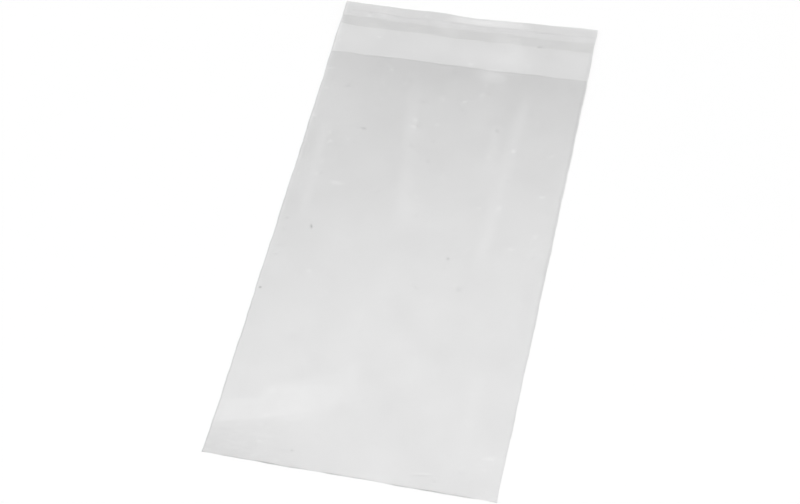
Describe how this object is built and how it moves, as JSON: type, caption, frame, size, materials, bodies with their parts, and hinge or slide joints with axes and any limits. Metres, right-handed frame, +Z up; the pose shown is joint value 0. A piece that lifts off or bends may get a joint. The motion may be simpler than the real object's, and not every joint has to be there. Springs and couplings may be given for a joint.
{
  "type": "cellophane bag",
  "caption": "Flat clear film bag lying on its back, folded at the bottom and welded down the sides, with an open mouth and a flap that carries an adhesive strip under a release liner.",
  "frame": {"origin": "middle of the face that the bag lies on, halfway between the bottom fold and the flap's free edge", "axes": "+X across the bag, +Y from the bottom fold to the flap's free edge, +Z up out of the front panel"},
  "size_m": [0.12, 0.24, 0.0017],
  "materials": {
    "film": "clear, glossy, faintly grey film",
    "adhesive": "clear tacky strip, faintly yellow",
    "liner": "clear glossy film strip"
  },
  "bodies": {
    "root": {"bag_film": "film", "adhesive_strip": "adhesive", "release_liner": "liner"}
  },
  "joints": []
}
